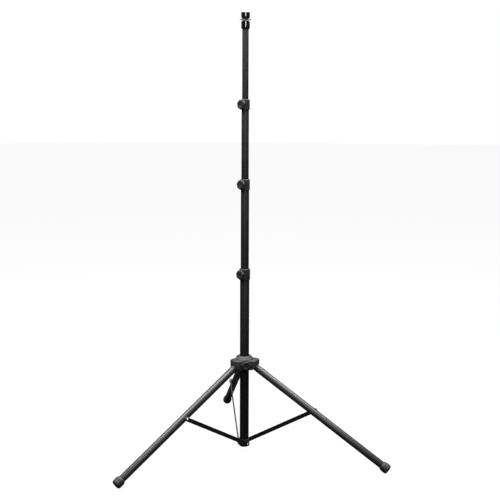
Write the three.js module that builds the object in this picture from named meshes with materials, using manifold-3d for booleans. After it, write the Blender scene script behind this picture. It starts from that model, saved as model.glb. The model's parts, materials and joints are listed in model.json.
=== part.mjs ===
// Telescopic mast stand on a folding tripod base. Millimetres, +Z up.
// The floor is z = 0, the rear leg points along +Y, and the origin lies under the middle of the outline.

import * as THREE from 'three';
import { mergeVertices } from 'three/addons/utils/BufferGeometryUtils.js';
import Module from 'manifold-3d';

const wasm = await Module();
wasm.setup();

// ---------- driving dimensions ----------

const GAP = 0.3; // clearance between touching pieces
const DEG = Math.PI / 180;

// Mast tubes, from the largest at the bottom to the smallest at the top.
const SECTIONS = [
  { name: 'base', outer: 19.0, inner: 17.5, bottom: 57.3, top: 772 },
  { name: 'third', outer: 16.7, inner: 15.5, bottom: 452, top: 1137 },
  { name: 'second', outer: 14.75, inner: 13.5, bottom: 834, top: 1453 },
  { name: 'top', outer: 12.6, inner: 11.4, bottom: 1170, top: 1758 },
];
const MAST_SIDES = 32;
const BUSH_LIP = 12;
const BUSH_SPIGOT = 22;

// Clamp collars, one at the upper end of every tube but the top one.
const COLLARS = [
  { radius: 22.0, bottom: 738, height: 46 },
  { radius: 19.4, bottom: 1106, height: 43 },
  { radius: 18.0, bottom: 1424.5, height: 41 },
];
const COLLAR_CHAMFER = 2.2;
const KNOB_ANGLE = 220 * DEG;
const BOSS_RADIUS = 11;
const BOSS_PROUD = 1.8;

// Star knobs and their screws.
const KNOB = { radius: 20.3, thick: 9, lobes: 7, dip: 1.8 };
const SCREW_RADIUS = 4;
const SCREW_IN_KNOB = 6;
const PAD_THICK = 1.8;

// Mast head: a base on the top tube, a waisted socket and a loose ring in the waist.
const HEAD_BOTTOM = 1735.5;
const HEAD_SHOULDER = 1765.5;
const HEAD_TOP = 1800;
const HEAD_RADIUS = 17;
const HEAD_BASE_RADIUS = 16.8;
const SOCKET_RADIUS = 8.1;
const SOCKET_FLOOR = 1768;
const SPIGOT_RADIUS = 9;
const SPIGOT_BOTTOM = 1754;
const RING = { outer: 22.4, inner: 15.7, thick: 2.4, height: 1772.4, tilt: 13 * DEG, low_side: 262 * DEG };

// Folding base. Each leg hangs from a pin in the sliding hub; each strut ties a leg to the mast's foot.
const LEG_ANGLES = { rear: 90 * DEG, left: 210 * DEG, right: 330 * DEG };
const PIN_REACH = 42; // leg pin to mast axis
const PIN_HEIGHT = 377.8;
const LEG_SLOPE = 32.2 * DEG; // below the horizontal when open
const LEG_LENGTH = 683; // leg pin to the end of the foot
const LEG_OUTER = 14.8;
const LEG_INNER = 13.4;
const LEG_SIDES = 24;
const LEG_TUBE_START = 20.3;
const LEG_TUBE_END = 664.5;
const STRUT_ON_LEG = 309; // leg pin to strut bolt
const STRUT_FOOT_HEIGHT = 37.7;
const STRUT_PLANE = 22.5; // mast axis to the middle of the strut
const STRUT_WIDTH = 17;
const STRUT_THICK = 4;

// Hub, with heights from the leg pins and reaches from the mast axis.
const HUB = {
  bore: 19.6,
  sleeve: 22.4,
  ear: 29, // half the width of an ear
  ear_centre: 37, // middle of its round nose
  ear_end: 59, // flat tip of the nose
  ear_bottom: -12,
  ear_top: 27,
  edge: 5,
  slot: 15.3,
  slot_start: 27.4,
  slot_end: 56.5,
  slot_roof: 18,
  mouth_roof: 8.6,
  bottom: -22.5,
  cone_bottom: 23,
  cone_rim: 37,
  crown: 25,
  crown_top: 40.5,
};
const PIN_RADIUS = 4;
const PIN_HOLE = 4.4;
const HUB_KNOB_ANGLE = 270 * DEG;
const HUB_KNOB_RISE = 8;
const HUB_KNOB_REACH = 46.5;

// Bracket under the base tube.
const BRACKET = { radius: 22, flat: 20.2, bottom: 26, top: 57, spigot: 17.1, spigot_top: 84 };
const BOLT_RADIUS = 3;
const BOLT_HOLE = 3.3;
const BOLT_HEAD = 6;

// ---------- materials ----------

function finish(color, roughness, metalness) {
  return { color, roughness, metalness };
}

const FINISHES = {
  mast_paint: finish(0x1a1a1b, 0.5, 0.3),
  leg_paint: finish(0x232324, 0.42, 0.3),
  strut_paint: finish(0x0f0f10, 0.55, 0.2),
  grey_plastic: finish(0x3a3a3c, 0.6, 0),
  black_plastic: finish(0x1e1e1f, 0.5, 0),
  rubber: finish(0x202021, 0.75, 0),
  gloss_black: finish(0x08080a, 0.12, 0.2),
  chrome: finish(0xc8c8cc, 0.15, 1),
  zinc: finish(0x9a9a9e, 0.35, 1),
  nylon: finish(0xd8d6cc, 0.6, 0),
};

// ---------- geometry helpers ----------

// A solid of revolution about Z. The profile lists [radius, height] from the lower axis end upwards.
function lathe(profile, sides) {
  const points = profile.map(([radius, height]) => new THREE.Vector2(radius, height));
  return new THREE.LatheGeometry(points, sides).rotateX(Math.PI / 2);
}

function ringProfile(inner, outer, low, high) {
  return [[inner, low], [outer, low], [outer, high], [inner, high], [inner, low]];
}

// A round bar along X, Y or Z between two places on that axis.
function bar(axis, radius, from, to, sides = 20) {
  const geometry = new THREE.CylinderGeometry(radius, radius, to - from, sides);
  geometry.translate(0, (from + to) / 2, 0);
  if (axis === 'x') {
    geometry.rotateZ(-Math.PI / 2);
  }
  if (axis === 'z') {
    geometry.rotateX(Math.PI / 2);
  }
  return geometry;
}

function block(low, high) {
  const size = high.map((value, i) => value - low[i]);
  const middle = high.map((value, i) => (value + low[i]) / 2);
  return new THREE.BoxGeometry(...size).translate(...middle);
}

// An outline in X and Y, drawn up from one height to another.
function prism(outline, low, high, bevel = 0, bevelSegments = 1) {
  const shape = new THREE.Shape(outline.map(([x, y]) => new THREE.Vector2(x, y)));
  const settings = {
    depth: high - low - 2 * bevel,
    steps: 1,
    bevelEnabled: bevel > 0,
    bevelThickness: bevel,
    bevelSize: bevel,
    bevelOffset: -bevel,
    bevelSegments,
  };
  return new THREE.ExtrudeGeometry(shape, settings).translate(0, 0, low + bevel);
}

function arc(centre, radius, from, to, steps) {
  const points = [];
  for (let i = 0; i <= steps; i += 1) {
    const angle = from + ((to - from) * i) / steps;
    points.push([centre[0] + radius * Math.cos(angle), centre[1] + radius * Math.sin(angle)]);
  }
  return points;
}

function toSolid(geometry) {
  const bare = geometry.clone();
  bare.deleteAttribute('normal');
  bare.deleteAttribute('uv');
  const merged = mergeVertices(bare, 1e-4);
  const corners = merged.index.array;
  const kept = [];
  for (let i = 0; i < corners.length; i += 3) {
    const [a, b, c] = [corners[i], corners[i + 1], corners[i + 2]];
    if (a !== b && b !== c && c !== a) {
      kept.push(a, b, c);
    }
  }
  const mesh = new wasm.Mesh({
    numProp: 3,
    vertProperties: new Float32Array(merged.attributes.position.array),
    triVerts: new Uint32Array(kept),
  });
  return new wasm.Manifold(mesh);
}

function toGeometry(solid) {
  const mesh = solid.getMesh();
  const geometry = new THREE.BufferGeometry();
  geometry.setAttribute('position', new THREE.BufferAttribute(mesh.vertProperties, 3));
  geometry.setIndex(new THREE.BufferAttribute(mesh.triVerts, 1));
  return geometry;
}

function join(...pieces) {
  return toGeometry(pieces.map(toSolid).reduce((sum, piece) => sum.add(piece)));
}

function cut(piece, ...tools) {
  return toGeometry(tools.map(toSolid).reduce((rest, tool) => rest.subtract(tool), toSolid(piece)));
}

function common(first, second) {
  return toGeometry(toSolid(first).intersect(toSolid(second)));
}

// ---------- assembly helpers ----------

function addPart(parent, name, geometry, finishName) {
  const mesh = new THREE.Mesh(geometry, new THREE.MeshStandardMaterial(FINISHES[finishName]));
  mesh.name = name;
  parent.add(mesh);
}

function addGroup(parent, height = 0, turn = 0) {
  const group = new THREE.Group();
  group.position.z = height;
  group.rotation.z = turn;
  parent.add(group);
  return group;
}

// ---------- mast ----------

// A tube with a hole near its top where the clamp pad reaches through.
function mastTube(section, collar) {
  const profile = ringProfile(section.inner, section.outer, section.bottom, section.top);
  const tube = lathe(profile, MAST_SIDES);
  if (!collar) {
    return tube;
  }
  const hole = bar('x', SCREW_RADIUS + 0.6, 5, section.outer + 5);
  hole.rotateZ(KNOB_ANGLE).translate(0, 0, collar.bottom + collar.height / 2);
  return cut(tube, hole);
}

// The plug in the lower end of a sliding tube. Its lip runs in the tube outside it.
function guideBush(section, around) {
  const lip = around.inner - 0.35;
  const spigot = section.inner - GAP;
  const low = section.bottom - BUSH_LIP;
  const seat = section.bottom - GAP;
  const high = seat + BUSH_SPIGOT;
  const hollow = spigot - 3;
  const profile = [
    [hollow, low], [lip - 1, low], [lip, low + 1], [lip, seat], [spigot, seat],
    [spigot, high - 1], [spigot - 1, high], [hollow, high], [hollow, low],
  ];
  return lathe(profile, MAST_SIDES);
}

// A collar stands on the end of the outer tube; its upper lip closes in on the tube that slides.
function clampCollar(collar, outside, sliding) {
  const fit = outside.outer + GAP;
  const lip = sliding.outer + 0.4;
  const step = outside.top - collar.bottom + GAP;
  const wide = collar.radius;
  const high = collar.height;
  const profile = [
    [fit, 0], [wide - 1, 0], [wide, 1.5], [wide, high - COLLAR_CHAMFER],
    [wide - COLLAR_CHAMFER, high], [lip + 0.8, high], [lip, high - 0.8], [lip, step],
    [fit, step], [fit, 0],
  ];
  const boss = bar('x', BOSS_RADIUS, fit + 0.2, wide + BOSS_PROUD);
  const clear = bar('z', fit + 0.1, -5, step - 0.1, MAST_SIDES);
  const screwHole = bar('x', SCREW_RADIUS + 0.4, 5, wide + 10);
  for (const piece of [boss, screwHole]) {
    piece.translate(0, 0, high / 2).rotateZ(KNOB_ANGLE);
  }
  return cut(join(lathe(profile, MAST_SIDES), cut(boss, clear)), screwHole);
}

function starOutline({ radius, lobes, dip }) {
  const steps = lobes * 8;
  const points = [];
  for (let i = 0; i < steps; i += 1) {
    const angle = (i * 2 * Math.PI) / steps;
    const reach = radius - (dip * (1 - Math.cos(lobes * angle))) / 2;
    points.push([reach * Math.cos(angle), reach * Math.sin(angle)]);
  }
  return points;
}

// A star knob whose axis is X. Its back face is at the given reach.
function starKnob(reach) {
  const star = prism(starOutline(KNOB), 0, KNOB.thick, 1.6);
  const pocket = bar('z', SCREW_RADIUS + GAP, -1, SCREW_IN_KNOB + GAP);
  return cut(star, pocket).rotateY(Math.PI / 2).translate(reach, 0, 0);
}

function clampScrew(tip, reach) {
  return lathe([
    [0, tip], [SCREW_RADIUS - 0.8, tip], [SCREW_RADIUS, tip + 0.8],
    [SCREW_RADIUS, reach + SCREW_IN_KNOB], [0, reach + SCREW_IN_KNOB],
  ], 20).rotateY(Math.PI / 2);
}

function clampPad(inside) {
  return bar('x', SCREW_RADIUS, inside, inside + PAD_THICK);
}

function addClamp(parent, name, reach, tubeRadius) {
  const padStart = tubeRadius + GAP;
  addPart(parent, `${name}_clamp_pad`, clampPad(padStart), 'nylon');
  addPart(parent, `${name}_clamp_screw`, clampScrew(padStart + PAD_THICK + GAP, reach), 'zinc');
  addPart(parent, `${name}_knob`, starKnob(reach), 'black_plastic');
}

function addMast(stand) {
  SECTIONS.forEach((section, i) => {
    const collar = COLLARS[i];
    addPart(stand, `${section.name}_tube`, mastTube(section, collar), 'mast_paint');
    if (i > 0) {
      addPart(stand, `${section.name}_guide_bush`, guideBush(section, SECTIONS[i - 1]), 'nylon');
    }
    if (collar) {
      const sliding = SECTIONS[i + 1];
      const seat = addGroup(stand, collar.bottom);
      addPart(seat, `${section.name}_collar`, clampCollar(collar, section, sliding), 'black_plastic');
      const clamp = addGroup(stand, collar.bottom + collar.height / 2, KNOB_ANGLE);
      const reach = collar.radius + BOSS_PROUD + GAP;
      addClamp(clamp, section.name, reach, sliding.outer);
    }
  });
}

// ---------- mast head ----------

function headBase(tube) {
  const fit = tube.outer + GAP;
  const step = tube.top + GAP;
  const wide = HEAD_BASE_RADIUS;
  return lathe([
    [fit, HEAD_BOTTOM], [fit + 0.6, HEAD_BOTTOM], [wide, HEAD_BOTTOM + 5.5],
    [wide, HEAD_SHOULDER - 0.8], [wide - 0.8, HEAD_SHOULDER], [SPIGOT_RADIUS + GAP, HEAD_SHOULDER],
    [SPIGOT_RADIUS + GAP, step], [fit, step], [fit, HEAD_BOTTOM],
  ], MAST_SIDES);
}

function headSocket() {
  const bottom = HEAD_SHOULDER + GAP;
  return lathe([
    [0, SPIGOT_BOTTOM + 5], [SPIGOT_RADIUS, SPIGOT_BOTTOM + 5], [SPIGOT_RADIUS, bottom], [11.8, bottom],
    [11.8, bottom + 3], [13.3, 1774.6], [HEAD_RADIUS, 1782.7], [HEAD_RADIUS, HEAD_TOP - 0.8],
    [HEAD_RADIUS - 0.8, HEAD_TOP], [SOCKET_RADIUS, HEAD_TOP], [SOCKET_RADIUS, SOCKET_FLOOR],
    [0, SOCKET_FLOOR],
  ], MAST_SIDES);
}

function waistRing() {
  const { outer, inner, thick } = RING;
  const half = thick / 2;
  return lathe([
    [inner + 0.5, -half], [outer - 0.7, -half], [outer, -0.5], [outer, 0.5], [outer - 0.7, half],
    [inner + 0.5, half], [inner, 0], [inner + 0.5, -half],
  ], 40);
}

function addHead(stand) {
  const tube = SECTIONS[SECTIONS.length - 1];
  addPart(stand, 'head_base', headBase(tube), 'gloss_black');
  addPart(stand, 'head_socket', headSocket(), 'gloss_black');
  const seat = addGroup(stand, RING.height, RING.low_side);
  const tilted = new THREE.Group();
  tilted.rotation.y = RING.tilt;
  seat.add(tilted);
  addPart(tilted, 'waist_ring', waistRing(), 'chrome');
}

// ---------- hub ----------

// One hooded ear of the hub, pointing along X, before its slot is cut.
function hubEar() {
  const half = HUB.ear;
  const tip = Math.acos((HUB.ear_end - HUB.ear_centre) / half);
  const outline = [
    [0, -half],
    ...arc([HUB.ear_centre, 0], half, -Math.PI / 2, -tip, 7),
    ...arc([HUB.ear_centre, 0], half, tip, Math.PI / 2, 7),
    [0, half],
  ];
  const plan = prism(outline, HUB.ear_bottom - HUB.edge, HUB.ear_top, HUB.edge, 2);
  const side = [
    [0, HUB.ear_bottom], [46, HUB.ear_bottom], [56, 0], [HUB.ear_end + 0.5, HUB.mouth_roof],
    [HUB.ear_end + 5, HUB.mouth_roof], [HUB.ear_end + 5, HUB.ear_top + 5], [0, HUB.ear_top + 5],
  ];
  return common(plan, prism(side, -half - 5, half + 5).rotateX(Math.PI / 2));
}

// A sleeve on the mast, a cone-shaped crown, and three ears with a slot for a leg in each.
function hubBody() {
  const core = lathe([
    [0, HUB.bottom], [HUB.sleeve - 1, HUB.bottom], [HUB.sleeve, HUB.bottom + 1],
    [HUB.sleeve, HUB.cone_bottom], [HUB.cone_rim, HUB.cone_bottom], [HUB.cone_rim, HUB.ear_top + 1],
    [HUB.crown + 2, HUB.crown_top - 1], [HUB.crown, HUB.crown_top], [0, HUB.crown_top],
  ], MAST_SIDES);
  const boss = bar('x', BOSS_RADIUS, 20, HUB_KNOB_REACH - GAP);
  const screwHole = bar('x', SCREW_RADIUS + 0.4, 5, 60);
  for (const piece of [boss, screwHole]) {
    piece.translate(0, 0, HUB_KNOB_RISE).rotateZ(HUB_KNOB_ANGLE);
  }
  const added = [core, boss];
  const removed = [bar('z', HUB.bore, -60, 60, MAST_SIDES), screwHole];
  for (const turn of Object.values(LEG_ANGLES)) {
    added.push(hubEar().rotateZ(turn));
    const slot = block([HUB.slot_start, -HUB.slot, -40], [HUB.slot_end, HUB.slot, HUB.slot_roof]);
    const mouth = block([HUB.slot_end - 1, -HUB.slot, -40], [80, HUB.slot, HUB.mouth_roof]);
    const pinHole = bar('y', PIN_HOLE, -40, 40).translate(PIN_REACH, 0, 0);
    removed.push(...[slot, mouth, pinHole].map((tool) => tool.rotateZ(turn)));
  }
  return cut(join(...added), ...removed);
}

// A pin across one ear, flush with its sides.
function legPin() {
  const end = HUB.ear - 1.2;
  return lathe([
    [0, -end], [PIN_RADIUS - 0.6, -end], [PIN_RADIUS, 0.6 - end], [PIN_RADIUS, end - 0.6],
    [PIN_RADIUS - 0.6, end], [0, end],
  ], 20).rotateX(-Math.PI / 2);
}

function addHub(stand) {
  const hub = addGroup(stand, PIN_HEIGHT);
  addPart(hub, 'hub_body', hubBody(), 'grey_plastic');
  for (const [side, turn] of Object.entries(LEG_ANGLES)) {
    const ear = addGroup(hub, 0, turn);
    addPart(ear, `${side}_leg_pin`, legPin().translate(PIN_REACH, 0, 0), 'black_plastic');
  }
  const clamp = addGroup(hub, HUB_KNOB_RISE, HUB_KNOB_ANGLE);
  addClamp(clamp, 'hub', HUB_KNOB_REACH, SECTIONS[0].outer);
}

// ---------- legs ----------

function rivetHole() {
  return bar('x', 2.3, -20, -6, 16).translate(0, 0, 44);
}

// The insert's rounded end turns on the pin, and its spigot fills the end of the leg tube.
function legInsert() {
  const round = LEG_OUTER - 0.7;
  const seat = LEG_TUBE_START - GAP;
  const spigot = bar('z', LEG_INNER - GAP, seat - 1, seat + 42, LEG_SIDES);
  const neck = bar('z', round, 0, seat, LEG_SIDES);
  const nose = common(bar('z', round, -round - 1, 0.5, LEG_SIDES), bar('y', round, -20, 20, 32));
  return cut(join(neck, nose, spigot), bar('y', PIN_HOLE, -20, 20), rivetHole());
}

function legTube() {
  const profile = ringProfile(LEG_INNER, LEG_OUTER, LEG_TUBE_START, LEG_TUBE_END);
  return cut(lathe(profile, LEG_SIDES), rivetHole());
}

function legRivet() {
  return lathe([
    [0, 7.5], [2, 7.5], [2, LEG_OUTER + GAP], [3.8, LEG_OUTER + GAP], [3.2, LEG_OUTER + 1.2],
    [0, LEG_OUTER + 1.7],
  ], 16).rotateY(-Math.PI / 2).translate(0, 0, 44);
}

// A flared foot that the tube's end is pushed into. The floor cuts a small flat on its lower edge.
function footCap() {
  const corner = 8.5;
  const wide = 20.2;
  const hollow = LEG_OUTER + GAP;
  const floor = LEG_TUBE_END + GAP;
  const rim = LEG_LENGTH - 34;
  const round = arc([wide - corner, LEG_LENGTH - corner], corner, 0, Math.PI / 2, 5);
  return lathe([
    [0, floor], [hollow, floor], [hollow, rim], [hollow + 1.1, rim], [17.7, rim + 2.5],
    [19.6, rim + 7], [wide, rim + 14], ...round, [0, LEG_LENGTH + 0.8],
  ], 32);
}

// The saddle that fills the room between the round leg and the flat strut.
function strutSpacer() {
  const outside = STRUT_PLANE - STRUT_THICK / 2 - GAP;
  const puck = bar('y', 9, 4, outside);
  return cut(puck, bar('z', LEG_OUTER + GAP, -20, 20, LEG_SIDES)).translate(0, 0, STRUT_ON_LEG);
}

function floorUnder(leg) {
  leg.updateWorldMatrix(true, false);
  const plate = block([-900, -900, -60], [900, 900, 0]);
  return plate.applyMatrix4(leg.matrixWorld.clone().invert());
}

function addLeg(stand, side, turn) {
  const spoke = addGroup(stand, PIN_HEIGHT, turn);
  const leg = new THREE.Group();
  leg.position.x = PIN_REACH;
  leg.rotation.y = Math.PI / 2 + LEG_SLOPE;
  spoke.add(leg);
  addPart(leg, `${side}_leg_insert`, legInsert(), 'black_plastic');
  addPart(leg, `${side}_leg_tube`, legTube(), 'leg_paint');
  addPart(leg, `${side}_leg_rivet`, legRivet(), 'black_plastic');
  addPart(leg, `${side}_strut_spacer`, strutSpacer(), 'black_plastic');
  addPart(leg, `${side}_foot_cap`, cut(footCap(), floorUnder(leg)), 'rubber');
}

// ---------- struts ----------

const STRUT_TOP_REACH = PIN_REACH + STRUT_ON_LEG * Math.cos(LEG_SLOPE);
const STRUT_RISE = PIN_HEIGHT - STRUT_ON_LEG * Math.sin(LEG_SLOPE) - STRUT_FOOT_HEIGHT;
const STRUT_SPAN = Math.hypot(STRUT_TOP_REACH, STRUT_RISE);
const STRUT_SLOPE = Math.atan2(STRUT_RISE, STRUT_TOP_REACH);

// A flat bar along X with round ends, standing on edge, from its lower bolt at the origin.
function strutBar() {
  const half = STRUT_WIDTH / 2;
  const outline = [
    ...arc([0, 0], half, Math.PI / 2, 1.5 * Math.PI, 8),
    ...arc([STRUT_SPAN, 0], half, -Math.PI / 2, Math.PI / 2, 8),
  ];
  const plate = prism(outline, -STRUT_THICK / 2, STRUT_THICK / 2).rotateX(Math.PI / 2);
  const holes = [0, STRUT_SPAN].map((x) => bar('y', BOLT_HOLE, -9, 9, 16).translate(x, 0, 0));
  return cut(plate, ...holes);
}

// A bolt along Y. Its head lies outside the strut, and its shank starts at the given depth.
function strutBolt(depth) {
  const seat = STRUT_THICK / 2 + GAP;
  return lathe([
    [0, -depth], [BOLT_RADIUS, -depth], [BOLT_RADIUS, seat], [BOLT_HEAD, seat],
    [BOLT_HEAD, seat + 1.8], [BOLT_HEAD - 1.6, seat + 3.2], [0, seat + 3.8],
  ], 20).rotateX(-Math.PI / 2);
}

function addStrut(stand, side, turn) {
  const spoke = addGroup(stand, STRUT_FOOT_HEIGHT, turn);
  const plane = new THREE.Group();
  plane.position.y = STRUT_PLANE;
  spoke.add(plane);
  addPart(plane, `${side}_strut_foot_bolt`, strutBolt(13), 'zinc');
  const strut = new THREE.Group();
  strut.rotation.y = -STRUT_SLOPE;
  plane.add(strut);
  addPart(strut, `${side}_strut`, strutBar(), 'strut_paint');
  const head = strutBolt(STRUT_THICK / 2).translate(STRUT_SPAN, 0, 0);
  addPart(strut, `${side}_strut_head_bolt`, head, 'zinc');
}

// ---------- foot of the mast ----------

// A round block with a flat for every strut, and a spigot up into the base tube.
function footBracket() {
  const { radius, flat, bottom, top, spigot, spigot_top: spigotTop } = BRACKET;
  const round = lathe([
    [0, bottom], [radius - 1.5, bottom], [radius, bottom + 1.5], [radius, top], [spigot, top],
    [spigot, spigotTop - 1.5], [spigot - 1.5, spigotTop], [0, spigotTop],
  ], MAST_SIDES);
  const tools = [bar('z', 9, 50, 100, MAST_SIDES)];
  for (const turn of Object.values(LEG_ANGLES)) {
    const side = block([-40, flat, bottom - 5], [40, 40, top + GAP / 2]);
    const hole = bar('y', BOLT_HOLE, 8, 40, 16).translate(0, 0, STRUT_FOOT_HEIGHT);
    tools.push(side.rotateZ(turn), hole.rotateZ(turn));
  }
  return cut(round, ...tools);
}

// ---------- the stand ----------

const whole = new THREE.Group();
const stand = addGroup(whole);
addMast(stand);
addHead(stand);
addHub(stand);
addPart(stand, 'foot_bracket', footBracket(), 'black_plastic');
for (const [side, turn] of Object.entries(LEG_ANGLES)) {
  addLeg(stand, side, turn);
  addStrut(stand, side, turn);
}

// The mast was built on the Z axis, so the middle of the outline still has to come to the origin.
const middle = new THREE.Box3().setFromObject(stand, true).getCenter(new THREE.Vector3());
stand.position.set(-middle.x, -middle.y, 0);

export default whole;
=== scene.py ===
"""Looks of the telescopic tripod stand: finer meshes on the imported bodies, materials, light and camera."""

import json
import math

import bmesh
import bpy
from mathutils import Matrix, Vector


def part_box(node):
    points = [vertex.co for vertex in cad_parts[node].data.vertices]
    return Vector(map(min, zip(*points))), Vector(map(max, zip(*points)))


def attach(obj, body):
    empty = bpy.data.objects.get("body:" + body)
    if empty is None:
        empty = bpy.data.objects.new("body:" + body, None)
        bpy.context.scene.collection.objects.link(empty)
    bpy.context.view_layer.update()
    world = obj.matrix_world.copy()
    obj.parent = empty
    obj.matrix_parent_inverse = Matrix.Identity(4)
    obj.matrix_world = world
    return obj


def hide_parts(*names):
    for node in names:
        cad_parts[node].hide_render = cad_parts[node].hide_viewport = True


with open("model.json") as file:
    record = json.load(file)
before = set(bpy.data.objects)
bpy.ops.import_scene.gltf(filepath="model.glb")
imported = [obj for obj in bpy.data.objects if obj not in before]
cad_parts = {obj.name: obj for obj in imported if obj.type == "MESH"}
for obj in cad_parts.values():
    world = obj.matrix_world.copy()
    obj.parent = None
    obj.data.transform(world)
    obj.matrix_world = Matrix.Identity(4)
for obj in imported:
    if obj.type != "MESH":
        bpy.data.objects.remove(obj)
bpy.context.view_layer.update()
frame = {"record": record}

MM = 0.001
CLEAR = 0.3  # millimetres left between pieces that touch in the real stand
ROUND = 96  # sides of a large round piece
SLIVER = 0.000004  # metres: edges shorter than this are merged away after a cut or a bevel
SAME_PLACE = 1e-6  # metres: corners closer than this are one corner
ALMOST_NOTHING = 1e-7
SMALL_ROUND = 48  # sides of a bolt or a rivet
SHARP = math.radians(32)

LEGS = {"rear": math.radians(90), "left": math.radians(210), "right": math.radians(330)}
SECTIONS = ["base", "third", "second", "top"]
KNOB_TURN = math.radians(220)
HUB_KNOB_TURN = math.radians(270)
LEG_SLOPE = math.radians(32.2)


# ---------- places, from the frame ----------


def low(node):
    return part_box(node)[0]


def high(node):
    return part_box(node)[1]


def centre(node):
    return (low(node) + high(node)) / 2


def half_width(node):
    return (high(node).x - low(node).x) / 2


def pivot(joint):
    """The place of a hinge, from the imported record."""
    joints = frame["record"]["behaviour"]["joints"]
    return Vector(next(j["pos_m"] for j in joints if j["name"] == joint))


MAST = Vector((centre("base_tube").x, centre("base_tube").y, 0))


def on_mast(height=0.0, turn=0.0):
    """The frame of a piece on the mast: its Z is the mast's axis, and its X is turned."""
    return Matrix.Translation(MAST + Vector((0, 0, height))) @ Matrix.Rotation(turn, 4, "Z")


def along_x(reach=0.0):
    """Turns a piece made about Z so that its Z points along X, starting at the reach."""
    return Matrix.Translation((reach, 0, 0)) @ Matrix.Rotation(math.pi / 2, 4, "Y")


def along_y(reach=0.0):
    return Matrix.Translation((0, reach, 0)) @ Matrix.Rotation(-math.pi / 2, 4, "X")


# ---------- outlines ----------


def arc(middle, radius, start, end, steps):
    """Points on an arc, with angles in degrees."""
    points = []
    for i in range(steps + 1):
        angle = math.radians(start + (end - start) * i / steps)
        points.append((middle[0] + radius * math.cos(angle), middle[1] + radius * math.sin(angle)))
    return points


def rounded(corners, closed=False, steps=4):
    """An outline from corners (x, y, radius), all in millimetres, as points in metres."""
    points = []
    count = len(corners)
    for i, (x, y, radius) in enumerate(corners):
        here = Vector((x, y))
        inside = closed or 0 < i < count - 1
        if radius == 0 or not inside:
            points.append(here * MM)
            continue
        before = Vector(corners[i - 1][:2]) - here
        after = Vector(corners[(i + 1) % count][:2]) - here
        bend = before.angle(after)
        reach = min(radius / math.tan(bend / 2), before.length * 0.49, after.length * 0.49)
        start = here + before.normalized() * reach
        end = here + after.normalized() * reach
        for step in range(steps + 1):
            t = step / steps
            points.append(((1 - t) ** 2 * start + 2 * t * (1 - t) * here + t * t * end) * MM)
    return [(p.x, p.y) for p in points]


# ---------- meshes ----------


def mesh_of(shape):
    """Ends a bmesh: merges doubles, turns the faces out and smooths all but the sharp edges."""
    bmesh.ops.remove_doubles(shape, verts=shape.verts, dist=SAME_PLACE)
    bmesh.ops.recalc_face_normals(shape, faces=shape.faces)
    mesh = bpy.data.meshes.new("shape")
    shape.to_mesh(mesh)
    shape.free()
    smooth(mesh)
    return mesh


def smooth(mesh):
    mesh.polygons.foreach_set("use_smooth", [True] * len(mesh.polygons))
    mesh.set_sharp_from_angle(angle=SHARP)


def revolve(profile, sides=ROUND):
    """A solid of revolution about Z. The profile starts and ends on the axis, or is closed."""
    shape = bmesh.new()
    rings = []
    for radius, height in profile:
        if radius < ALMOST_NOTHING:
            rings.append([shape.verts.new((0, 0, height))] * sides)
            continue
        ring = []
        for i in range(sides):
            angle = 2 * math.pi * i / sides
            ring.append(shape.verts.new((radius * math.cos(angle), radius * math.sin(angle), height)))
        rings.append(ring)
    if profile[0][0] > ALMOST_NOTHING:
        rings.append(rings[0])
    for lower, upper in zip(rings, rings[1:]):
        for i in range(sides):
            j = (i + 1) % sides
            corners = list(dict.fromkeys([lower[i], lower[j], upper[j], upper[i]]))
            if len(corners) > 2:
                shape.faces.new(corners)
    return mesh_of(shape)


def prism(outline, bottom, top, bevel=0.0):
    """An outline in X and Y drawn up from bottom to top, with rounded rims."""
    shape = bmesh.new()
    base = shape.faces.new([shape.verts.new((x, y, bottom)) for x, y in outline])
    drawn = bmesh.ops.extrude_face_region(shape, geom=[base])
    moved = [v for v in drawn["geom"] if isinstance(v, bmesh.types.BMVert)]
    bmesh.ops.translate(shape, verts=moved, vec=(0, 0, top - bottom))
    shape.normal_update()
    if bevel:
        rims = [
            e for e in shape.edges
            if abs(e.verts[0].co.z - e.verts[1].co.z) < ALMOST_NOTHING
        ]
        bmesh.ops.bevel(
            shape, geom=rims, offset=bevel, segments=3, profile=0.6, affect="EDGES", clamp_overlap=True
        )
    return mesh_of(shape)


def block(lowest, highest):
    outline = [
        (lowest[0], lowest[1]),
        (highest[0], lowest[1]),
        (highest[0], highest[1]),
        (lowest[0], highest[1]),
    ]
    return prism(outline, lowest[2], highest[2])


def bar(radius, bottom, top, sides=ROUND):
    return revolve([(0, bottom), (radius, bottom), (radius, top), (0, top)], sides)


def placed(mesh, matrix):
    mesh.transform(matrix)
    return mesh


def applied(mesh, add_modifiers):
    """The mesh after the modifiers that add_modifiers puts on an object holding it."""
    holder = bpy.data.objects.new("holder", mesh)
    bpy.context.scene.collection.objects.link(holder)
    add_modifiers(holder)
    graph = bpy.context.evaluated_depsgraph_get()
    made = bpy.data.meshes.new_from_object(holder.evaluated_get(graph))
    bpy.data.objects.remove(holder)
    smooth(made)
    return made


def cleaned(mesh):
    """Drops the slivers that cuts and bevels leave, without changing the shape."""
    shape = bmesh.new()
    shape.from_mesh(mesh)
    bmesh.ops.remove_doubles(shape, verts=shape.verts, dist=SLIVER)
    bmesh.ops.dissolve_degenerate(shape, edges=shape.edges, dist=SLIVER)
    return mesh_of(shape)


def combined(mesh, others, operation):
    for other in others:
        tool = bpy.data.objects.new("tool", other)
        bpy.context.scene.collection.objects.link(tool)

        def add(holder, tool=tool):
            modifier = holder.modifiers.new("boolean", "BOOLEAN")
            modifier.operation = operation
            modifier.solver = "EXACT"
            modifier.object = tool

        mesh = applied(mesh, add)
        bpy.data.objects.remove(tool)
    return cleaned(mesh)


def joined(mesh, *others):
    return combined(mesh, others, "UNION")


def cut(mesh, *others):
    return combined(mesh, others, "DIFFERENCE")


def common(mesh, *others):
    return combined(mesh, others, "INTERSECT")


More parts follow.
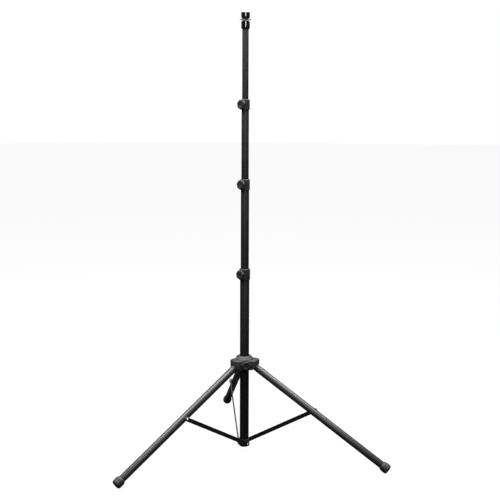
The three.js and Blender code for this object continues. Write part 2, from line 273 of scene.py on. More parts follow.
def softened(mesh, width, segments=3):
    """Rounds the mesh's sharp edges."""

    def add(holder):
        modifier = holder.modifiers.new("bevel", "BEVEL")
        modifier.width = width
        modifier.segments = segments
        modifier.limit_method = "ANGLE"
        modifier.angle_limit = SHARP
        modifier.use_clamp_overlap = True

    return cleaned(applied(mesh, add))


# ---------- materials ----------


class Nodes:
    """A material's node tree, with short calls for the nodes used here."""

    def __init__(self, name):
        self.material = bpy.data.materials.new(name)
        self.material.use_nodes = True
        self.tree = self.material.node_tree
        self.shader = self.tree.nodes["Principled BSDF"]
        self.place = self.add("ShaderNodeTexCoord").outputs["Object"]

    def add(self, kind, **settings):
        node = self.tree.nodes.new(kind)
        for key, value in settings.items():
            setattr(node, key, value)
        return node

    def link(self, output, socket):
        self.tree.links.new(output, socket)

    def noise(self, scale, detail=3.0, stretch=None):
        node = self.add("ShaderNodeTexNoise")
        node.inputs["Scale"].default_value = scale
        node.inputs["Detail"].default_value = detail
        place = self.place
        if stretch:
            mapping = self.add("ShaderNodeMapping")
            mapping.inputs["Scale"].default_value = stretch
            self.link(place, mapping.inputs["Vector"])
            place = mapping.outputs["Vector"]
        self.link(place, node.inputs["Vector"])
        return node.outputs["Fac"]

    def specks(self, scale, size):
        """White on small spots, black elsewhere."""
        node = self.add("ShaderNodeTexVoronoi")
        node.inputs["Scale"].default_value = scale
        self.link(self.place, node.inputs["Vector"])
        return self.spread(node.outputs["Distance"], 0, size, 1, 0)

    def spread(self, value, from_low, from_high, to_low, to_high):
        node = self.add("ShaderNodeMapRange")
        limits = {"From Min": from_low, "From Max": from_high, "To Min": to_low, "To Max": to_high}
        for socket, number in limits.items():
            node.inputs[socket].default_value = number
        self.link(value, node.inputs["Value"])
        return node.outputs["Result"]

    def mix(self, amount, first, second):
        """Between two colours, or a colour and another node's colour."""
        node = self.add("ShaderNodeMix", data_type="RGBA")
        self.link(amount, node.inputs["Factor"])
        for socket, colour in ((node.inputs[6], first), (node.inputs[7], second)):
            if isinstance(colour, tuple):
                socket.default_value = (*colour, 1)
            else:
                self.link(colour, socket)
        return node.outputs[2]

    def colour(self, output):
        self.link(output, self.shader.inputs["Base Color"])

    def roughness(self, output):
        self.link(output, self.shader.inputs["Roughness"])

    def bump(self, output, depth, before=None):
        node = self.add("ShaderNodeBump")
        node.inputs["Distance"].default_value = depth
        self.link(output, node.inputs["Height"])
        if before:
            self.link(before, node.inputs["Normal"])
        self.link(node.outputs["Normal"], self.shader.inputs["Normal"])
        return node.outputs["Normal"]


def powder_coat(name, dark, light, rough, speck):
    """Satin black powder coat: an orange-peel surface, faint cloudiness and fine pale specks."""
    n = Nodes(name)
    cloud = n.noise(9, 4, (1, 1, 0.25))
    paint = n.mix(cloud, dark, light)
    speckled = n.mix(n.specks(420, 0.22), paint, speck)
    n.colour(speckled)
    n.roughness(n.spread(n.noise(35, 5), 0.3, 0.7, rough - 0.05, rough + 0.08))
    peel = n.bump(n.noise(650, 2), 0.00012)
    n.bump(n.noise(2200, 1), 0.00003, peel)
    n.shader.inputs["Metallic"].default_value = 0.0
    n.shader.inputs["Specular IOR Level"].default_value = 0.5
    return n.material


def moulded(name, dark, light, rough, grain):
    """Moulded plastic: a fine spark-eroded grain and slightly worn, paler high spots."""
    n = Nodes(name)
    base = n.mix(n.noise(24, 5), dark, light)
    worn = tuple(c * 1.7 for c in light)
    n.colour(n.mix(n.spread(n.noise(160, 6), 0.58, 0.75, 0, 0.6), base, worn))
    n.roughness(n.spread(n.noise(70, 4), 0.3, 0.7, rough - 0.08, rough + 0.08))
    coarse = n.bump(n.noise(grain, 3), 0.00018)
    n.bump(n.noise(grain * 3.5, 1), 0.00005, coarse)
    return n.material


def rubber_look(name):
    n = Nodes(name)
    dusty = n.mix(n.noise(30, 6), (0.012, 0.012, 0.012), (0.024, 0.024, 0.024))
    n.colour(n.mix(n.spread(n.noise(110, 6), 0.5, 0.8, 0, 0.5), dusty, (0.07, 0.068, 0.064)))
    n.roughness(n.spread(n.noise(60, 4), 0.3, 0.7, 0.5, 0.68))
    n.bump(n.noise(900, 3), 0.00015)
    return n.material


def lacquer(name):
    """Gloss black lacquer with faint waviness and a clear coat."""
    n = Nodes(name)
    n.colour(n.mix(n.noise(18, 3), (0.004, 0.004, 0.005), (0.009, 0.009, 0.010)))
    n.roughness(n.spread(n.noise(120, 5), 0.3, 0.7, 0.1, 0.2))
    n.bump(n.noise(260, 2), 0.00004)
    n.shader.inputs["Coat Weight"].default_value = 1.0
    n.shader.inputs["Coat IOR"].default_value = 1.9
    n.shader.inputs["Coat Roughness"].default_value = 0.1
    return n.material


def plated(name, dark, light, rough, scratch):
    """Bright plating: cloudy tint, fine scratches and a slight unevenness."""
    n = Nodes(name)
    n.shader.inputs["Metallic"].default_value = 1.0
    n.colour(n.mix(n.noise(140, 4), dark, light))
    scratches = n.noise(700, 4, (1, 6, 1))
    n.roughness(n.spread(scratches, 0.3, 0.7, rough * 0.7, rough * 1.4))
    n.bump(scratches, scratch)
    return n.material


def nylon_look(name):
    n = Nodes(name)
    n.colour(n.mix(n.noise(80, 4), (0.58, 0.56, 0.49), (0.7, 0.68, 0.6)))
    n.roughness(n.spread(n.noise(200, 4), 0.3, 0.7, 0.4, 0.6))
    n.bump(n.noise(900, 2), 0.00005)
    n.shader.inputs["Subsurface Weight"].default_value = 0.1
    return n.material


def grey(value, blue=0.0):
    return (value, value, value + blue)


MATERIALS = {
    # One black powder coat at three lightnesses, with painted light: the legs' paint is made lighter to
    # paint in the light the legs catch from above, and the mast's and struts' paint is made darker, as
    # painted shade.
    "mast_paint": powder_coat("mast_paint", grey(0.0045), grey(0.008), 0.52, grey(0.025)),
    "leg_paint": powder_coat("leg_paint", grey(0.022), grey(0.03), 0.34, grey(0.034)),
    "strut_paint": powder_coat("strut_paint", grey(0.005), grey(0.009), 0.5, grey(0.02)),
    "grey_plastic": moulded("grey_plastic", grey(0.03, 0.001), grey(0.045, 0.002), 0.55, 520),
    "black_plastic": moulded("black_plastic", grey(0.014), grey(0.024, 0.001), 0.58, 520),
    "rubber": rubber_look("rubber"),
    "gloss_black": lacquer("gloss_black"),
    "chrome": plated("chrome", (0.34, 0.34, 0.36), (0.42, 0.42, 0.44), 0.32, 0.00001),
    "zinc": plated("zinc", (0.62, 0.62, 0.64), (0.78, 0.78, 0.77), 0.28, 0.00003),
    "nylon": nylon_look("nylon"),
}
SLOTS = {row["node"]: row["material_slot"] for row in frame["record"]["subparts"]}
BODIES = {
    node: body for body, nodes in frame["record"]["behaviour"]["bodies"].items() for node in nodes
}


def piece(mesh, node, name=None):
    """Puts a mesh, already in the row frame, in the place of a CAD node."""
    made = bpy.data.objects.new(name or f"{node}_look", mesh)
    bpy.context.scene.collection.objects.link(made)
    slot_name = SLOTS[node]
    mesh.materials.clear()
    mesh.materials.append(MATERIALS[slot_name])
    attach(made, BODIES[node])
    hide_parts(node)
    return made


# ---------- mast ----------

WALL = {"base": 1.5 * MM, "third": 1.2 * MM, "second": 1.25 * MM, "top": 1.2 * MM}


def tube_mesh(outer, inner, bottom, top, sides=ROUND):
    lip = 0.4
    corners = [
        (inner / MM, bottom / MM, lip),
        (outer / MM, bottom / MM, lip),
        (outer / MM, top / MM, lip),
        (inner / MM, top / MM, lip),
    ]
    return revolve(rounded(corners, closed=True, steps=2), sides)


def add_tubes():
    for section in SECTIONS:
        node = f"{section}_tube"
        outer = half_width(node)
        mesh = tube_mesh(outer, outer - WALL[section], low(node).z, high(node).z)
        piece(placed(mesh, on_mast()), node)


def add_bushes():
    """The guide bushes, whose lips are split by grooves."""
    for outside, section in zip(SECTIONS, SECTIONS[1:]):
        node = f"{section}_guide_bush"
        lip = half_width(node) / MM
        spigot = half_width(f"{section}_tube") / MM - WALL[section] / MM - CLEAR
        bottom, top = low(node).z / MM, high(node).z / MM
        seat = low(f"{section}_tube").z / MM - CLEAR
        profile = [
            (spigot - 3, bottom, 0.5),
            (lip, bottom, 1.2),
            (lip, bottom + 4, 0.2),
            (lip - 0.8, bottom + 4.4, 0.2),
            (lip - 0.8, bottom + 6.2, 0.2),
            (lip, bottom + 6.6, 0.2),
            (lip, seat, 0.3),
            (spigot, seat, 0),
            (spigot, top, 1.2),
            (spigot - 3, top, 0.5),
        ]
        piece(placed(revolve(rounded(profile, closed=True, steps=2)), on_mast()), node)


BOSS_RADIUS = 11
BOSS_PROUD = 1.8
SCREW_RADIUS = 4
SCREW_IN_KNOB = 6
SCREW_START = 2.1  # from the pad's inner face to the screw's tip
PAD_THICK = 1.8
KNOB = {"radius": 20.3, "thick": 9, "lobes": 7, "dip": 1.8}
HUB_KNOB_REACH = 46.5
HUB_KNOB_RISE = 8


def add_collars():
    """Each collar has rounded rims, a shallow band and a boss for its screw."""
    for section, sliding in zip(SECTIONS, SECTIONS[1:]):
        node = f"{section}_collar"
        fit = half_width(f"{section}_tube") / MM + CLEAR
        lip = half_width(f"{sliding}_tube") / MM + 0.4
        bottom = low(node).z
        tall = (high(node).z - low(node).z) / MM
        step = (high(f"{section}_tube").z - bottom) / MM + CLEAR
        wide = (high(node).x - MAST.x) / MM
        profile = [
            (fit, 0, 0.5),
            (wide, 0, 1.4),
            (wide, 5.2, 0.3),
            (wide - 0.5, 5.6, 0.3),
            (wide - 0.5, 6.4, 0.3),
            (wide, 6.8, 0.3),
            (wide, tall - 2.6, 1.6),
            (wide - 2.2, tall, 1.2),
            (lip, tall, 0.8),
            (lip, step, 0),
            (fit, step, 0.3),
        ]
        body = revolve(rounded(profile, closed=True))
        face = wide + BOSS_PROUD
        boss_profile = [
            (0, fit + 1.2, 0),
            (BOSS_RADIUS, fit + 1.2, 0),
            (BOSS_RADIUS, face, 1),
            (0, face, 0),
        ]
        boss = placed(revolve(rounded(boss_profile), SMALL_ROUND), along_x())
        hole = placed(bar((SCREW_RADIUS + 0.4) * MM, 5 * MM, (wide + 9) * MM, SMALL_ROUND), along_x())
        turned = Matrix.Translation((0, 0, tall / 2 * MM)) @ Matrix.Rotation(KNOB_TURN, 4, "Z")
        mesh = joined(body, placed(boss, turned))
        mesh = cut(mesh, placed(hole, turned))
        piece(placed(mesh, on_mast(bottom)), node)


# ---------- knobs ----------


def knob_mesh(radius, thick, lobes, dip):
    """A star knob about Z: soft lobes around the rim, a crowned face and a shallow dish in its middle."""
    rings = [
        (0.36, 0.0), (0.93, 0.0), (0.985, 0.05), (1.0, 0.16), (1.0, 0.6), (0.985, 0.74), (0.94, 0.86),
        (0.84, 0.95), (0.66, 1.0), (0.52, 1.0), (0.47, 0.965), (0.44, 0.9), (0.3, 0.88), (0.12, 0.87),
    ]
    sides = lobes * 16
    shape = bmesh.new()
    loops = []
    for share, rise in rings:
        wave = max(0.0, (share - 0.5) / 0.5)
        loop = []
        for i in range(sides):
            angle = 2 * math.pi * i / sides
            scallop = (1 - math.cos(lobes * angle)) / 2
            reach = (radius * share - dip * wave * scallop ** 0.8) * MM
            place = (reach * math.cos(angle), reach * math.sin(angle), rise * thick * MM)
            loop.append(shape.verts.new(place))
        loops.append(loop)
    for lower, upper in zip(loops, loops[1:]):
        for i in range(sides):
            j = (i + 1) % sides
            shape.faces.new([lower[i], lower[j], upper[j], upper[i]])
    shape.faces.new(loops[-1])
    pocket = [[], []]
    for i in range(sides):
        angle = 2 * math.pi * i / sides
        reach = (SCREW_RADIUS + CLEAR) * MM
        for loop, height in zip(pocket, (0, (SCREW_IN_KNOB + CLEAR) * MM)):
            loop.append(shape.verts.new((reach * math.cos(angle), reach * math.sin(angle), height)))
    for i in range(sides):
        j = (i + 1) % sides
        shape.faces.new([loops[0][j], loops[0][i], pocket[0][i], pocket[0][j]])
        shape.faces.new([pocket[0][j], pocket[0][i], pocket[1][i], pocket[1][j]])
    shape.faces.new(pocket[1])
    return mesh_of(shape)


def screw_mesh(tip, end):
    """A threaded stud: rings of thread along a rod."""
    pitch = 1.25
    profile = [(0, tip), (SCREW_RADIUS - 1.0, tip), (SCREW_RADIUS - 0.6, tip + 0.5)]
    height = tip + 0.6
    while height + pitch < end:
        profile += [(SCREW_RADIUS - 0.6, height), (SCREW_RADIUS, height + pitch * 0.45)]
        profile.append((SCREW_RADIUS, height + pitch * 0.6))
        height += pitch
    profile += [(SCREW_RADIUS - 0.6, height), (SCREW_RADIUS - 0.6, end), (0, end)]
    return revolve([(r * MM, z * MM) for r, z in profile], SMALL_ROUND)


def pad_mesh(inside, outside):
    profile = [(0, inside, 0), (SCREW_RADIUS, inside, 0.4), (SCREW_RADIUS, outside, 0.3), (0, outside, 0)]
    return revolve(rounded(profile), SMALL_ROUND)


def add_clamp(section, turn, tube_node, seat_radius):
    """A knob, its screw and its pad, on a level line out of the mast."""
    tube = half_width(tube_node) / MM
    height = centre(f"{section}_clamp_screw").z
    matrix = on_mast(height, turn)
    pad_start = tube + CLEAR
    pad = pad_mesh(pad_start, pad_start + PAD_THICK)
    piece(placed(pad, matrix @ along_x()), f"{section}_clamp_pad")
    screw = screw_mesh(pad_start + SCREW_START, seat_radius + SCREW_IN_KNOB)
    piece(placed(screw, matrix @ along_x()), f"{section}_clamp_screw")
    star = knob_mesh(**KNOB)
    piece(placed(star, matrix @ along_x(seat_radius * MM)), f"{section}_knob")


def add_clamps():
    for section, sliding in zip(SECTIONS, SECTIONS[1:]):
        collar = (high(f"{section}_collar").x - MAST.x) / MM
        add_clamp(section, KNOB_TURN, f"{sliding}_tube", collar + BOSS_PROUD + CLEAR)
    add_clamp("hub", HUB_KNOB_TURN, "base_tube", HUB_KNOB_REACH)


# ---------- head ----------

SPIGOT = 9
WAIST = 11.8
WAIST_TOP = 13.3
SOCKET_BORE = 8.1
SOCKET_FLOOR = 1768
RING = {"outer": 22.4, "inner": 15.7, "half": 1.2}
RING_TILT = math.radians(13)
RING_LOW_SIDE = math.radians(262)


def add_head():
    tube = half_width("top_tube") / MM
    tube_top = high("top_tube").z / MM
    bottom, shoulder = low("head_base").z / MM, high("head_base").z / MM
    wide = half_width("head_base") / MM
    base = [
        (tube + CLEAR, bottom, 0.2),
        (tube + 0.9, bottom, 0.3),
        (wide, bottom + 5.5, 1.5),
        (wide, shoulder, 1.0),
        (SPIGOT + CLEAR, shoulder, 0.4),
        (SPIGOT + CLEAR, tube_top + CLEAR, 0),
        (tube + CLEAR, tube_top + CLEAR, 0),
    ]
    piece(placed(revolve(rounded(base, closed=True)), on_mast()), "head_base")
    top = high("head_socket").z / MM
    rim = half_width("head_socket") / MM
    seat = shoulder + CLEAR
    socket = [
        (0, low("head_socket").z / MM, 0),
        (SPIGOT, low("head_socket").z / MM, 0.6),
        (SPIGOT, seat, 0),
        (WAIST, seat, 0.3),
        (WAIST, seat + 3, 1.5),
        (WAIST_TOP, seat + 8.8, 2),
        (rim, seat + 16.9, 1.5),
        (rim, top, 0.9),
        (SOCKET_BORE, top, 0.7),
        (SOCKET_BORE, SOCKET_FLOOR, 0.4),
        (0, SOCKET_FLOOR, 0),
    ]
    piece(placed(revolve(rounded(socket)), on_mast()), "head_socket")
    add_ring()


def add_ring():
    """The loose ring: a flat ring with a groove around its rim, tilted in the waist."""
    outer, inner, half = RING["outer"], RING["inner"], RING["half"]
    corners = [
        (inner, -half, 0.6),
        (outer, -half, 0.9),
        (outer, -0.15, 0.1),
        (outer - 0.5, 0, 0.1),
        (outer, 0.15, 0.1),
        (outer, half, 0.9),
        (inner, half, 0.6),
    ]
    tilt = Matrix.Rotation(RING_LOW_SIDE, 4, "Z") @ Matrix.Rotation(RING_TILT, 4, "Y")
    mesh = revolve(rounded(corners, closed=True))
    piece(placed(mesh, on_mast(centre("waist_ring").z) @ tilt), "waist_ring")


# ---------- hub ----------

PIN_REACH = 42
PIN_HOLE = 4.4
# Heights are from the leg pins, and reaches from the mast's axis.
HUB = {
    "bore": 19.6,
    "sleeve": 22.4,
    "ear": 29,
    "ear_centre": 37,
    "ear_end": 59,
    "ear_bottom": -12,
    "ear_top": 27,
    "edge": 5,
    "slot": 15.3,
    "slot_start": 27.4,
    "slot_end": 56.5,
    "slot_roof": 18,
    "mouth_roof": 8.6,
    "bottom": -22.5,
    "cone_bottom": 23,
    "cone_rim": 37,
    "crown": 25,
    "crown_top": 40.5,
}
PIN_HEIGHT = pivot("rear_leg_fold").z


def metres(points):
    return [(x * MM, y * MM) for x, y in points]


def ear_mesh():
    """One hooded ear, pointing along X, before its slot is cut."""
    half = HUB["ear"]
    tip = math.degrees(math.acos((HUB["ear_end"] - HUB["ear_centre"]) / half))
    middle = (HUB["ear_centre"], 0)
    outline = [(0, -half), *arc(middle, half, -90, -tip, 20), *arc(middle, half, tip, 90, 20), (0, half)]
    bottom = (HUB["ear_bottom"] - HUB["edge"]) * MM
    plan = prism(metres(outline), bottom, HUB["ear_top"] * MM, HUB["edge"] * MM)
    far, roof, top = HUB["ear_end"] + 5, HUB["mouth_roof"], HUB["ear_top"] + 5
    side = [
        (0, HUB["ear_bottom"]),
        (46, HUB["ear_bottom"]),
        (56, 0),
        (HUB["ear_end"] + 0.5, roof),
        (far, roof),
        (far, top),
        (0, top),
    ]
    profile = prism(metres(side), -(half + 5) * MM, (half + 5) * MM)
    return common(plan, placed(profile, Matrix.Rotation(math.pi / 2, 4, "X")))


def hub_mesh():
    """A sleeve on the mast, a cone-shaped crown, and three ears with a slot for a leg in each."""
    core = [
        (0, HUB["bottom"], 0),
        (HUB["sleeve"], HUB["bottom"], 0),
        (HUB["sleeve"], HUB["cone_bottom"], 0),
        (HUB["cone_rim"], HUB["cone_bottom"], 0),
        (HUB["cone_rim"], HUB["ear_top"] + 1, 2),
        (HUB["crown"] + 1, HUB["crown_top"] - 0.3, 1.5),
        (HUB["crown"] - 1, HUB["crown_top"], 0),
        (0, HUB["crown_top"], 0),
    ]
    knob_frame = Matrix.Translation((0, 0, HUB_KNOB_RISE * MM)) @ Matrix.Rotation(HUB_KNOB_TURN, 4, "Z")
    boss = bar(BOSS_RADIUS * MM, 20 * MM, (HUB_KNOB_REACH - CLEAR) * MM, SMALL_ROUND)
    added = [placed(boss, knob_frame @ along_x())]
    screw = bar((SCREW_RADIUS + 0.4) * MM, 5 * MM, 60 * MM, SMALL_ROUND)
    removed = [bar(HUB["bore"] * MM, -60 * MM, 60 * MM), placed(screw, knob_frame @ along_x())]
    slot = [
        (HUB["slot_start"], -40),
        (80, -40),
        (80, HUB["mouth_roof"]),
        (HUB["slot_end"], HUB["mouth_roof"]),
        (HUB["slot_end"], HUB["slot_roof"]),
        (HUB["slot_start"], HUB["slot_roof"]),
    ]
    side = HUB["slot"] * MM
    for turn in LEGS.values():
        spoke = Matrix.Rotation(turn, 4, "Z")
        added.append(placed(ear_mesh(), spoke))
        cutter = placed(prism(metres(slot), -side, side), Matrix.Rotation(math.pi / 2, 4, "X"))
        hole = placed(bar(PIN_HOLE * MM, -40 * MM, 40 * MM, SMALL_ROUND), along_y())
        hole = placed(hole, Matrix.Translation((PIN_REACH * MM, 0, 0)))
        removed += [placed(cutter, spoke), placed(hole, spoke)]
    solid = joined(revolve(rounded(core)), *added)
    return softened(cut(solid, *removed), 1.0 * MM)


def pin_mesh():
    """A pin with a small centre mark in each end."""
    end = HUB["ear"] - 1.2
    half = [(4, end, 0.7), (1.6, end, 0.2), (0.9, end - 0.8, 0.2), (0, end - 0.8, 0)]
    mirrored = [(r, -z, k) for r, z, k in reversed(half)]
    return placed(revolve(rounded(mirrored + half), SMALL_ROUND), along_y())


def add_hub():
    piece(placed(hub_mesh(), on_mast(PIN_HEIGHT)), "hub_body")
    for side, turn in LEGS.items():
        matrix = on_mast(PIN_HEIGHT, turn) @ Matrix.Translation((PIN_REACH * MM, 0, 0))
        piece(placed(pin_mesh(), matrix), f"{side}_leg_pin")


# ---------- legs ----------

LEG_OUTER = 14.8
LEG_INNER = 13.4
LEG_TUBE_START = 20.3
LEG_TUBE_END = 664.5
LEG_LENGTH = 683
RIVET_REACH = 44
STRUT_ON_LEG = 309
STRUT_PLANE = 22.5
STRUT_THICK = 4
STRUT_WIDTH = 17
BOLT_RADIUS = 3
BOLT_HEAD = 6
BOLT_HOLE = 3.3


def insert_mesh():
    """The moulded end that hangs on the leg's pin and reaches into the tube."""
    outer = LEG_OUTER - 0.7
    seat = LEG_TUBE_START - CLEAR
    neck = revolve(rounded([(0, 0, 0), (outer, 0, 0), (outer, seat, 0.8), (0, seat, 0)]), ROUND)
    nose = common(
        bar(outer * MM, -20 * MM, 0.5 * MM), placed(bar(outer * MM, -20 * MM, 20 * MM), along_y())
    )
    spigot = bar((LEG_INNER - CLEAR) * MM, (seat - 2) * MM, (seat + 42) * MM)
    hole = placed(bar(PIN_HOLE * MM, -20 * MM, 20 * MM, SMALL_ROUND), along_y())
    return cut(joined(neck, nose, spigot), hole)


def rivet_mesh():
    """A rivet through the upper side of the tube into the insert."""
    start = LEG_OUTER + CLEAR
    profile = [
        (0, 7.5, 0),
        (2, 7.5, 0.3),
        (2, start, 0),
        (3.8, start, 0.3),
        (3.3, start + 1.3, 0.8),
        (0, start + 1.7, 0),
    ]
    turn = Matrix.Translation((0, 0, RIVET_REACH * MM)) @ Matrix.Rotation(-math.pi / 2, 4, "Y")
    return placed(revolve(rounded(profile), SMALL_ROUND), turn)


def foot_mesh():
    """A rubber foot that swells quickly from the tube, with one fine groove and a crowned end."""
    hollow = LEG_OUTER + CLEAR
    floor = LEG_TUBE_END + CLEAR
    rim = LEG_LENGTH - 34
    wide = 20.1
    profile = [
        (0, floor, 0),
        (hollow, floor, 0.5),
        (hollow, rim, 0.3),
        (hollow + 1.3, rim, 0.5),
        (17.7, rim + 2.5, 1.5),
        (19.6, rim + 7, 4),
        (wide - 0.1, rim + 11.6, 0.4),
        (wide - 0.7, rim + 12.2, 0.3),
        (wide - 0.7, rim + 13.2, 0.3),
        (wide, rim + 13.8, 0.4),
        (wide, LEG_LENGTH - 0.4, 9.8),
        (0, LEG_LENGTH + 0.3, 0),
    ]
    return revolve(rounded(profile, steps=6))


def spacer_mesh():
    """The saddle that fills the room between the round leg and the flat strut."""
    outside = STRUT_PLANE - STRUT_THICK / 2 - CLEAR
    puck = revolve(rounded([(0, 4, 0), (9, 4, 0), (9, outside, 0.8), (0, outside, 0)]), SMALL_ROUND)
    saddle = bar((LEG_OUTER + CLEAR) * MM, -20 * MM, 20 * MM)
    return placed(cut(placed(puck, along_y()), saddle), Matrix.Translation((0, 0, STRUT_ON_LEG * MM)))


def add_legs():
    """Each leg is made along Z from its pin, with its upper side towards -X."""
    for side, turn in LEGS.items():
        lean = Matrix.Rotation(math.pi / 2 + LEG_SLOPE, 4, "Y")
        matrix = on_mast(PIN_HEIGHT, turn) @ Matrix.Translation((PIN_REACH * MM, 0, 0)) @ lean
        tube = tube_mesh(LEG_OUTER * MM, LEG_INNER * MM, LEG_TUBE_START * MM, LEG_TUBE_END * MM)
        piece(placed(tube, matrix), f"{side}_leg_tube")
        piece(placed(insert_mesh(), matrix), f"{side}_leg_insert")
        piece(placed(rivet_mesh(), matrix), f"{side}_leg_rivet")
        piece(placed(spacer_mesh(), matrix), f"{side}_strut_spacer")
        ground = block((-1, -1, -0.1), (1, 1, 0))
        piece(cut(placed(foot_mesh(), matrix), ground), f"{side}_foot_cap")


# ---------- struts ----------


def strut_mesh(span):
    """A flat bar with round ends, along X from its lower bolt."""
    half = STRUT_WIDTH / 2
    outline = [*arc((0, 0), half, 90, 270, 24), *arc((span / MM, 0), half, -90, 90, 24)]
    thick = STRUT_THICK / 2 * MM
    plate = prism(metres(outline), -thick, thick, 0.6 * MM)
    stand_up = Matrix.Rotation(math.pi / 2, 4, "X")
    holes = [
        placed(bar(BOLT_HOLE * MM, -9 * MM, 9 * MM, SMALL_ROUND), Matrix.Translation((x, 0, 0)))
        for x in (0, span)
    ]
    return placed(cut(plate, *holes), stand_up)


def bolt_mesh(depth):
    """A domed bolt head with a hexagon socket, and its shank, along Y."""
    seat = STRUT_THICK / 2 + CLEAR
    profile = [
        (0, -depth, 0),
        (BOLT_RADIUS, -depth, 0.4),
        (BOLT_RADIUS, seat, 0),
        (BOLT_HEAD, seat, 0.2),
        (BOLT_HEAD, seat + 2.1, 0.9),
        (4.2, seat + 3.6, 0.8),
        (0, seat + 3.8, 0),
    ]
    head = revolve(rounded(profile), SMALL_ROUND)
    hexagon = metres(arc((0, 0), 2.3, 0, 300, 5))
    return placed(cut(head, prism(hexagon, (seat + 1.6) * MM, (seat + 9) * MM)), along_y())


def add_struts():
    for side, turn in LEGS.items():
        foot = pivot(f"{side}_strut_fold")
        leg_pin = PIN_HEIGHT - STRUT_ON_LEG * math.sin(LEG_SLOPE) * MM
        reach = (PIN_REACH + STRUT_ON_LEG * math.cos(LEG_SLOPE)) * MM
        rise = leg_pin - foot.z
        plane = on_mast(foot.z, turn) @ Matrix.Translation((0, STRUT_PLANE * MM, 0))
        piece(placed(bolt_mesh(13), plane), f"{side}_strut_foot_bolt")
        matrix = plane @ Matrix.Rotation(-math.atan2(rise, reach), 4, "Y")
        span = math.hypot(reach, rise)
        piece(placed(strut_mesh(span), matrix), f"{side}_strut")
        head = placed(bolt_mesh(STRUT_THICK / 2), Matrix.Translation((span, 0, 0)))
        piece(placed(head, matrix), f"{side}_strut_head_bolt")


# ---------- foot bracket ----------

BRACKET = {"radius": 22, "flat": 20.2, "spigot": 17.1, "bore": 9, "bore_floor": 24}


def add_bracket():
    """A round block with a flat for each strut, and a spigot up into the base tube."""
    bottom, top = low("foot_bracket").z / MM, high("foot_bracket").z / MM
    shoulder = low("base_tube").z / MM - CLEAR
    profile = [
        (0, bottom, 0),
        (BRACKET["radius"], bottom, 1.5),
        (BRACKET["radius"], shoulder, 0),
        (BRACKET["spigot"], shoulder, 0),
        (BRACKET["spigot"], top, 1.2),
        (BRACKET["bore"], top, 0.8),
        (BRACKET["bore"], bottom + BRACKET["bore_floor"], 0),
        (0, bottom + BRACKET["bore_floor"], 0),
    ]
    bolt_height = pivot("rear_strut_fold").z
    tools = []
    for turn in LEGS.values():
        spoke = Matrix.Rotation(turn, 4, "Z")
        side = block((-40 * MM, BRACKET["flat"] * MM, 0), (40 * MM, 40 * MM, (shoulder + 0.15) * MM))
        hole = placed(bar(BOLT_HOLE * MM, 8 * MM, 40 * MM, SMALL_ROUND), along_y())
        hole = placed(hole, Matrix.Translation((0, 0, bolt_height)))
        tools += [placed(side, spoke), placed(hole, spoke)]
    mesh = softened(cut(revolve(rounded(profile)), *tools), 0.7 * MM)
    piece(placed(mesh, on_mast()), "foot_bracket")


# ---------- stage ----------

# The floor looks pale but throws little light back up, so that the undersides stay dark.
FLOOR_BOUNCE = 0.02
FLOOR_PALE = 0.85
FLOOR_GLOW = 0.95
SKY_LIGHT = 0.02
OVERHEAD = {"offset": (-0.2, 0.15, 4.2), "size": (7, 3.2), "power": 700}
FRONT_STRIP = {"place": (-0.2, -3.7, 2.65), "aim": 1.9, "size": (0.6, 1.4), "power": 42}
LENS = 64.1
CAMERA_OFFSET = (-0.4889, -3.543, 1.4476)
CAMERA_YAW = math.radians(8.195)
CAMERA_PITCH = math.radians(9.322)
CAMERA_ROLL = math.radians(0.241)


def add_floor():
    mesh = prism(arc((0, 0), 30, 0, 354, 59), -0.02, 0)
    floor = bpy.data.objects.new("floor", mesh)
    bpy.context.scene.collection.objects.link(floor)
    n = Nodes("floor")
    seen = n.add("ShaderNodeLightPath").outputs["Is Camera Ray"]
    n.colour(n.mix(seen, (FLOOR_BOUNCE,) * 3, (FLOOR_PALE,) * 3))
    n.shader.inputs["Roughness"].default_value = 0.9
    n.shader.inputs["Specular IOR Level"].default_value = 0.0
    glow = n.add("ShaderNodeEmission")
    mix = n.add("ShaderNodeMixShader")
    n.link(n.spread(seen, 0, 1, 0, FLOOR_GLOW), mix.inputs["Fac"])
    n.link(n.shader.outputs["BSDF"], mix.inputs[1])
    n.link(glow.outputs["Emission"], mix.inputs[2])
    n.link(mix.outputs["Shader"], n.tree.nodes["Material Output"].inputs["Surface"])
    mesh.materials.append(n.material)


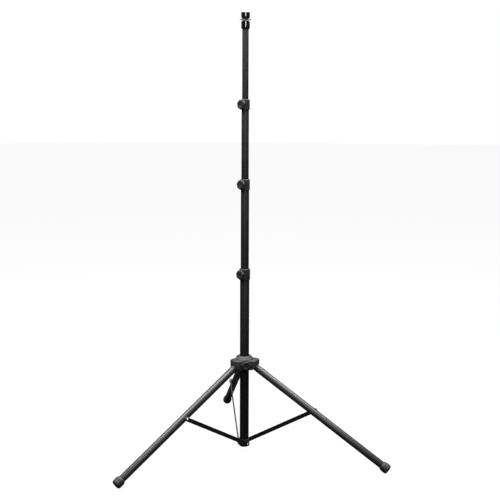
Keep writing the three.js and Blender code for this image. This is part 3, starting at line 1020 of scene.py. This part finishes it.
def add_softbox(name, place, target, size, power):
    light = bpy.data.lights.new(name, "AREA")
    light.shape = "RECTANGLE"
    light.size, light.size_y = size
    light.energy = power
    lamp = bpy.data.objects.new(name, light)
    lamp.location = place
    lamp.rotation_euler = (Vector(target) - Vector(place)).to_track_quat("-Z", "Y").to_euler()
    bpy.context.scene.collection.objects.link(lamp)


def add_lights():
    """A wide softbox above the stand, and a small one in front for the streaks on the head."""
    above = MAST + Vector(OVERHEAD["offset"])
    add_softbox("overhead", above, (above.x, above.y, 0), OVERHEAD["size"], OVERHEAD["power"])
    target = (MAST.x, MAST.y, FRONT_STRIP["aim"])
    add_softbox("front_strip", FRONT_STRIP["place"], target, FRONT_STRIP["size"], FRONT_STRIP["power"])


def add_sky():
    """A white surround for the camera, and a dimmer, even one for the light on the stand."""
    world = bpy.data.worlds.new("studio")
    bpy.context.scene.world = world
    world.use_nodes = True
    tree = world.node_tree
    tree.nodes.clear()
    out = tree.nodes.new("ShaderNodeOutputWorld")
    mix = tree.nodes.new("ShaderNodeMixShader")
    path = tree.nodes.new("ShaderNodeLightPath")
    tree.links.new(path.outputs["Is Camera Ray"], mix.inputs["Fac"])
    for index, strength in ((1, SKY_LIGHT), (2, 1.0)):
        background = tree.nodes.new("ShaderNodeBackground")
        background.inputs["Color"].default_value = (1, 1, 1, 1)
        background.inputs["Strength"].default_value = strength
        tree.links.new(background.outputs["Background"], mix.inputs[index])
    tree.links.new(mix.outputs["Shader"], out.inputs["Surface"])


def add_camera():
    data = bpy.data.cameras.new("camera")
    data.sensor_width = 36
    data.lens = LENS
    camera = bpy.data.objects.new("camera", data)
    aim = Matrix.Rotation(-CAMERA_YAW, 4, "Z") @ Matrix.Rotation(math.pi / 2 - CAMERA_PITCH, 4, "X")
    place = MAST + Vector(CAMERA_OFFSET)
    camera.matrix_world = Matrix.Translation(place) @ aim @ Matrix.Rotation(CAMERA_ROLL, 4, "Z")
    bpy.context.scene.collection.objects.link(camera)
    bpy.context.scene.camera = camera


add_tubes()
add_bushes()
add_collars()
add_clamps()
add_head()
add_hub()
add_legs()
add_struts()
add_bracket()
add_floor()
add_lights()
add_sky()
add_camera()
bpy.context.scene.view_settings.view_transform = "Standard"
